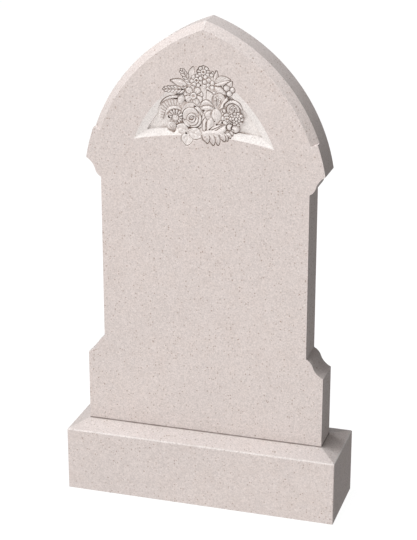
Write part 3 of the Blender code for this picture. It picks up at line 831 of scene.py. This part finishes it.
def wheat_ear(base, tip, pairs, width, level):
    """An ear of wheat: grains in pairs along a stalk that all point to its tip, and one at the end."""
    start, end = Vector(base), Vector(tip)
    stalk = end - start
    side = Vector((-stalk.y, stalk.x)).normalized()
    forward = stalk.normalized()
    pitch = stalk.length / (pairs + 1)

    def half_width(share):
        """Half the ear's width, drawn in to its tip."""
        return width / 2 * (1 - 0.3 * share) * min(1, 0.25 + 2 * (1 - share))

    leaf(end - forward * pitch * 1.3, end, pitch * 0.74, (level - 2.2, level - 1.4), 1.5, fullness=0.65,
         rows=6)
    for index in reversed(range(pairs)):
        share = (index + 0.2) / (pairs + 1)
        root = start + stalk * share
        reach = half_width(share)
        for hand in (-1, 1):
            grain_tip = root + side * hand * reach * 0.95 + forward * pitch * 1.3
            leaf(root + side * hand * 1.2, grain_tip, pitch * 0.66, (level - 2.2, level - 1.4), 1.6,
                 fullness=0.6, rows=6, ridge=0.1 * hand)


def rose(centre, radius, turn):
    """A rose: curled petal edges wrapped round a small bud, over a low round body."""
    boss(centre, radius, [(0, -7), (0.3, -7.2), (0.5, -7.4), (0.8, -7.8), (0.95, -8.2), (1, -8.4)], sides=32)
    for index, (share, petals, sweep, width, level) in enumerate((
            (0.80, 3, 138, 0.40, -6.6), (0.46, 3, 136, 0.30, -5.4), (0.22, 2, 190, 0.22, -4.4))):
        for petal in range(petals):
            start = turn + 360 * petal / petals + 77 * index
            crescent(centre, radius * share, start, start + sweep, radius * width, level, crown=2.9,
                     ridge=-0.5, grow=-radius * 0.06)
    berry(centre, radius * 0.12, -2.4, sides=12)


def drill(centre, radius):
    """A deep hole between the flowers, narrowing to the panel's floor."""
    middle = Vector(centre) + LEAN * -6
    mesh = bmesh.new()
    skin(mesh, [[carved(point, level) for point in circle(middle, radius * share, 16)]
                for share, level in ((1.15, 3), (1, -6), (0.75, -14))])
    drillings.append(made_piece("drilling", mesh))


# The ground that the flowers stand on, well above the panel's floor
ground((2, -18), 60, [(0, -6.6), (0.3, -6.8), (0.6, -7.2), (0.85, -8.2), (1, -9.6)])
ground((-2, 28), 43, [(0, -4.8), (0.5, -5.0), (0.85, -5.6), (1, -6.6)])
ground((-61, -20), 25, [(0, -7.4), (0.5, -7.7), (0.85, -8.6), (1, -9.8)])

# Two ears of wheat and the leaves along the top
wheat_ear((-33, 33), (-87, 31), 7, 17, 0.2)
wheat_ear((-25, 44), (-48, 76), 5, 15, 0.2)
leaf((-36, 42), (-70, 50.5), 15, (-2.6, -1.8), 0.4, bend=-0.06, widest=0.42, relief=keel(2.4))
leaf((-25, 54), (-21, 82), 12.5, (-1.2, -0.7), 0.8, bend=0.12, widest=0.44, ridge=-0.35, relief=fold(3.2))
leaf((22, 50), (28.5, 77), 9, (-2.8, -1.8), 2.6, bend=-0.14, ridge=-0.3)
leaf((20, 64), (21, 75), 6, (-2.4, -1.6), 1.6, bend=0.1)
leaf((23, 52), (58, 59), 17, (-1.6, -1.0), 1.4, bend=0.1, widest=0.5, ridge=-0.2, rows=20,
     relief=nerves(4, 2.4))
leaf((23, 46.5), (58, 58.5), 7.5, (-2.6, -1.8), 2.6, bend=-0.1, widest=0.45, ridge=-0.2)
leaf((22, 42), (48, 28), 15, (-3.0, -2.4), 0.6, bend=0.08, teeth=4, relief=keel(2.2))
leaf((27, 33), (19, 27), 6.5, (-4, -3), 2.2, rows=6)

# Small flowers of the top row
blossom((1, 71.5), 13.5, 9, 8.6, (-3.4, -2.4), turn=10, start=0.42, crown=2.2, fullness=0.55)
cup((0.5, 72), 5.6, -5.0, -1.0, -2.6, share=0.62)
blossom((-14, 53), 13.5, 7, 9.5, (-3.6, -2.6), turn=-20, start=0.36, crown=2.4, fullness=0.55)
cup((-14, 54), 5.2, -5.0, -0.4, -2.8, share=0.62)
blossom((11, 46), 14, 6, 9.5, (-3.8, -2.8), turn=25, start=0.3, crown=2.4, fullness=0.8)
boss((11, 45.5), 5.4, [(0, -3.8), (0.5, -3.9), (1, -4.2)], cut=False)
berry((11, 45.5), 3.8, -0.4)
berry((18, 67), 4, -1.0)

# Bud and berries on the right
leaf((49, 38), (61.5, 57), 13, (-2.8, -1.8), 0.4, widest=0.4, relief=keel(2.0))
berry((50.5, 42.5), 6.8, -0.2)
berry((63, 39.5), 5.6, -0.2)
berry((56, 31), 5.9, -0.4)

# Broad flower left of the middle
blossom((-21, 21.5), 20.5, 9, 13.5, (-4.8, -3.8), turn=12, start=0.26, crown=2.6, fullness=0.48, rows=12,
        relief=vein(2.6, 0.2))
cup((-20.5, 21), 6.4, -3.8, -0.4, -3.6, share=0.7)

# Lily, with its throat, lip, stamens and spread petals
leaf((22, -2), (8, 35), 19, (-5.4, -3.4), 2.6, bend=-0.08, widest=0.5, fullness=1.1, ridge=-0.3,
     relief=vein(1.6, 0.14))
leaf((27, -5), (38, 30), 26, (-5.4, -4.2), -2.6, widest=0.62, fullness=0.65, relief=flutes(5, 1.3))
leaf((33, -4), (51, 24), 9.5, (-4.0, -2.6), 3.2, bend=-0.2, widest=0.55, ridge=-0.4)
for x, rise, tip_x, tip_rise in ((27, 2, 26, 17), (29, 2, 31, 20), (31, 2, 36, 17), (29, 0, 34, 9)):
    leaf((x, rise), (tip_x, tip_rise), 2.6, (-5.5, -4.2), 1.4, rows=6, cut=False)
    berry((tip_x, tip_rise), 2.1, -2.8, sides=12, cut=False)
leaf((23, 1), (-7, -1), 10.5, (-5.8, -6.0), 3.0, bend=-0.62, widest=0.55, ridge=-0.3)
leaf((21, -3.5), (-5, -5), 10.5, (-5.0, -5.2), 3.2, bend=-0.1, fullness=0.7, ridge=-0.2)
leaf((23, -10), (3.5, -20), 13, (-5.6, -5.6), 3.0, bend=-0.08, fullness=0.65, ridge=-0.3)
leaf((38, -3), (34, -34), 12, (-5.2, -4.8), 2.8, bend=0.4, fullness=0.65, ridge=0.4)
leaf((26, -2), (29, -33), 22, (-5.4, -5.0), 3.6, bend=0.05, widest=0.48, fullness=0.75, ridge=-0.2,
     relief=vein(1.8, 0.12))
leaf((41, -2), (50, -9), 9, (-5.4, -5), 2.6, rows=8)

# Tulip petals and long curved leaves under the lily
leaf((-1, -12), (-12, -48), 9, (-6.6, -6.2), 2.6, bend=0.34, ridge=0.3)
leaf((1, -56), (5, -24), 10, (-6.0, -5.0), 3.0, widest=0.6, fullness=0.7, ridge=-0.3)
leaf((9, -56), (17, -22), 15, (-6.0, -5.4), 1.4, bend=-0.06, widest=0.6, fullness=0.65, relief=keel(2.2))
leaf((13, -48), (37, -36), 8, (-5.6, -4.8), 2.6, bend=-0.14, ridge=-0.3)
leaf((11, -52), (46, -35), 9, (-5.0, -4.2), 2.8, bend=-0.24, ridge=-0.3)
leaf((6, -56), (53, -32), 13, (-4.6, -3.4), 3.2, bend=-0.36, widest=0.6, ridge=-0.4)

# Large rose
leaf((-24, -24), (-37, 3), 34, (-4.6, -3.6), -2.4, bend=-0.1, widest=0.6, fullness=0.6,
     relief=flutes(4, 1.4))
leaf((-17, -20), (-12, -1), 20, (-5.8, -4.6), 2.6, fullness=0.6, relief=vein(1.8, 0.16))
leaf((-28, -44), (-44, -34), 13, (-6.4, -6), 2.4, bend=0.2)
boss((-24, -26), 21.5, [(0, -6.6), (0.5, -6.9), (0.8, -8), (0.95, -9), (1, -9.6)], sides=36)
crescent((-24, -26), 17, 160, 276, 9, -6.8, crown=3.0, ridge=-0.6)
crescent((-24, -26), 17.6, -104, 26, 7.5, -6.4, crown=3.0, ridge=-0.5)
crescent((-25, -24.5), 14.8, 30, 204, 12.5, -6.2, crown=3.4, ridge=-0.7)
crescent((-24.5, -27), 11.6, -150, 24, 6.6, -5.4, crown=3.0, ridge=-0.5)
crescent((-24.5, -27), 8.2, 14, 216, 5.2, -4.8, crown=2.8, ridge=-0.5, grow=-0.8)
crescent((-24.5, -27), 6.4, -146, 40, 4.2, -4.2, crown=2.4, ridge=-0.4, grow=-0.8)
crescent((-24.5, -27), 3.2, 10, 230, 3.0, -3.8, crown=1.8, ridge=-0.3, grow=-0.6)
berry((-24.5, -27), 1.5, -2.6, sides=12)

# Daisy with a curled, ribbed leaf behind it
crescent((-60, -28), 41, 142, 68, 6.5, -5.0, crown=3.2, grow=5, ridge=0.3)
crescent((-60, -27), 31.5, 62, 196, 16, -6.8, crown=2.4, rows=84, relief=ribs(12, 3.0))
crescent((-60, -28), 22, 56, 168, 7, -5.8, crown=3.0, ridge=0.3)
leaf((-53, 3), (-44, 22), 15, (-5.0, -4.4), 3.4, bend=-0.1, fullness=0.7)
for odd in (0, 1):
    for index in range(odd, 15, 2):
        angle = math.tau * (index + 0.25) / 15
        heading = Vector((math.cos(angle), math.sin(angle)))
        length = 15.5 + 3.2 * heading.y
        middle = Vector((-60, -28))
        leaf(middle + heading * 6, middle + heading * length, 5.2, (-6.4, -5.2 + 0.4 * odd), 2.4,
             widest=0.62, fullness=0.6, rows=7)
boss((-60, -28), 6.8, [(0, -4), (0.3, -4.1), (0.6, -4.5), (0.85, -5.4), (1, -6.4)])
for turn, distance, count in ((0, 2.0, 5), (30, 4.7, 10)):
    for index in range(count):
        angle = math.radians(turn) + math.tau * index / count
        spot = (-60 + distance * math.cos(angle), -28 + distance * math.sin(angle))
        berry(spot, 1.3, -3.0 - distance * 0.12, sides=8, cut=False)

# Flowers along the right edge
crescent((63, -6), 19.5, 15, 152, 8.5, -6.4, crown=3.6, ridge=-0.3)
rose((64, -3), 14, 200)
blossom((51, -23), 12, 5, 12, (-6.2, -5), turn=30, start=0.3, crown=2.8)
cup((51, -22.5), 5.4, -5.4, -2.0, -4.4)
blossom((71, -22), 15, 10, 7.5, (-6.2, -5), turn=0, start=0.4, crown=2.8)
blossom((71, -22), 9.5, 7, 6, (-4.6, -3.8), turn=18, start=0.3, crown=2.2)
berry((71, -22), 3.2, -1.4)
berry((57.5, -39), 6.8, -2.4)
berry((70, -42), 8.4, -2.8)
leaf((66, -45), (53, -56), 8, (-6.4, -6), 2.4, relief=vein(0.5))
leaf((58, -47), (64, -57), 6, (-6.4, -6), 2.0)

# Deep holes between the flowers
for x, rise, radius in ((0, -9, 3), (-75, -28, 3.4), (-38, 9.5, 3), (24, -29.5, 2.0),
                        (28.5, -36.5, 2.3), (40.5, -32, 2.2), (-18.5, -1.5, 2.5), (-36, -58.5, 2.3),
                        (24, -2, 1.6), (38, 45.5, 1.7), (-21, 44.5, 1.3), (-5, 44, 1.5),
                        (62, -28.5, 1.6), (83.5, -27, 1.6), (-42, 41.5, 1.2)):
    drill((x, rise), radius)

# Leaves over the sill
leaf((-63, -57), (-75, -39), 19, (-6.6, -5.8), 2.4, bend=-0.1, widest=0.6, fullness=0.6, rows=10,
     relief=flutes(4, 2.6))
leaf((-32, -54), (-58, -45), 20, (-2.6, -2.4), 2.0, bend=0.04, widest=0.52, fullness=0.8, rows=20,
     relief=nerves(3, 2.0))
leaf((-34, -55), (-35.4, -86), 25, (-1.4, -0.8), 2.0, widest=0.5, fullness=0.9, rows=20,
     relief=nerves(3, 2.2))
leaf((-33, -52), (-3, -64.5), 24, (-1.6, -0.8), 2.0, bend=-0.05, widest=0.52, fullness=0.85, rows=20,
     relief=nerves(3, 2.0))
for start_x, x, rise, width in ((49, 59, -62.5, 7.5), (44, 52, -69, 7.5), (33, 46.5, -70.5, 11),
                                (21, 32.5, -79.5, 12), (9, 22, -80.5, 13.5), (-3, 9.5, -77, 15)):
    leaf((start_x, -53), (x, rise), width, (-3.2, -2.0), 0.8, bend=0.17, widest=0.54, fullness=0.9,
         ridge=-0.3, relief=keel(3.0))
leaf((-7, -60.5), (56, -57), 12, (-3.0, -2.8), 2.4, bend=0.13, widest=0.38, ridge=0.2, cut=False)

apply_boolean(tablet, "UNION", grounds, "MANIFOLD")
for grooves, forms in layers:
    if grooves:
        apply_boolean(tablet, "DIFFERENCE", grooves, "MANIFOLD")
    apply_boolean(tablet, "UNION", forms, "MANIFOLD")
apply_boolean(tablet, "DIFFERENCE", drillings, "MANIFOLD")
shade(tablet, 38, CARVED_AREA)

# How shut in each point of the carving is, which sets its painted shade browned as dirt, and which faces are
# newly cut or get painted highlight
SKY_REACH = 0.014
SKY_START = 0.0004
SHADE_AND_DIRT_FROM = 0.25
SHADE_AND_DIRT_MOST = 0.85
OUTLINE_SLACK = 0.0012
tree = BVHTree.FromObject(tablet, bpy.context.evaluated_depsgraph_get())
directions = []
for degrees, count in ((18, 4), (42, 7), (68, 9)):
    lean = math.radians(degrees)
    for index in range(count):
        spin = math.tau * (index + degrees / 50) / count
        spread = math.sin(lean)
        directions.append(Vector((spread * math.cos(spin), -math.cos(lean), spread * math.sin(spin))))


def near_bouquet(point):
    """Whether a point lies in the bouquet's square."""
    return abs(point.x) < BOUQUET_REACH and abs(point.z - BOUQUET_Z) < BOUQUET_REACH


def in_panel(point):
    """Whether a point lies inside the sunk panel's outline."""
    reach = math.hypot(abs(point.x) - ARCH_CENTRE.x, point.z - ARCH_CENTRE.y)
    sill = math.hypot(point.x, point.z - SILL_Z + PANEL_SILL_RADIUS)
    return reach < ARCH_RADIUS - PANEL_MARGIN + OUTLINE_SLACK and sill > PANEL_SILL_RADIUS - OUTLINE_SLACK


hollow, beside = {}, {}
for edge in tablet.data.edges:
    first, second = (tablet.data.vertices[index] for index in edge.vertices)
    if near_bouquet(first.co) and first.co.y < FACE_Y + CARVED_DEPTH:
        along = (second.co - first.co).normalized()
        for vert, lift in ((first, along.dot(first.normal)), (second, -along.dot(second.normal))):
            hollow[vert.index] = hollow.get(vert.index, 0) + lift
            beside[vert.index] = beside.get(vert.index, 0) + 1
# Painted shade, browned as dirt: darker where short rays soon meet the carving and where the surface is sunk
shade_and_dirt = {}
for vert in tablet.data.vertices:
    if near_bouquet(vert.co) and vert.co.y < FACE_Y + CARVED_DEPTH:
        origin = vert.co + vert.normal * SKY_START
        blocked = sum(tree.ray_cast(origin, direction, SKY_REACH)[0] is not None for direction in directions)
        shut = (blocked / len(directions) - SHADE_AND_DIRT_FROM) / (1 - SHADE_AND_DIRT_FROM)
        hollow[vert.index] = hollow.get(vert.index, 0) / beside.get(vert.index, 1)
        sunk = max(hollow[vert.index] - 0.03, 0)
        shade_and_dirt[vert.index] = min(SHADE_AND_DIRT_MOST * min(max(shut, 0) * 1.5, 1) + sunk, 0.9)


def freshness_and_highlight(face, vertex):
    """1 where the stone is newly cut, 0.55 to 1 on the carving with painted highlight on its ridges, 0.5 on
    arrises as painted highlight and wear, else 0.
    """
    deep = face.center.y - FACE_Y
    if near_bouquet(face.center) and 0.0003 < deep < CARVED_DEPTH and face.area < CARVED_AREA:
        # Painted highlight: the carving gets paler the more its surface bulges
        return 0.55 + min(max(-1.6 * hollow.get(vertex, 0), 0), 0.45)
    if in_panel(face.center) and 0.0001 < deep < CARVED_DEPTH:
        return 1.0
    # Painted highlight, partly wear, along the arrises
    return 0.5 if face.area < ARRIS_AREA and not near_bouquet(face.center) else 0.0


# Painted shade, browned as dirt, in the carving's crevices
paint(tablet, "crevice_shade_and_dirt", lambda face, vertex: shade_and_dirt.get(vertex, 0.0) if face.area < CARVED_AREA else 0.0)
paint(tablet, "fresh_cut_and_highlight", freshness_and_highlight)
tablet.data.materials.clear()
tablet.data.materials.append(limestone("tablet limestone", FOOT_Z + TABLET_JOINT_SHADE_REACH, joint_shade_rise=-550,
                                       smudge=0.2))
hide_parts("tablet")
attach(tablet, "root")
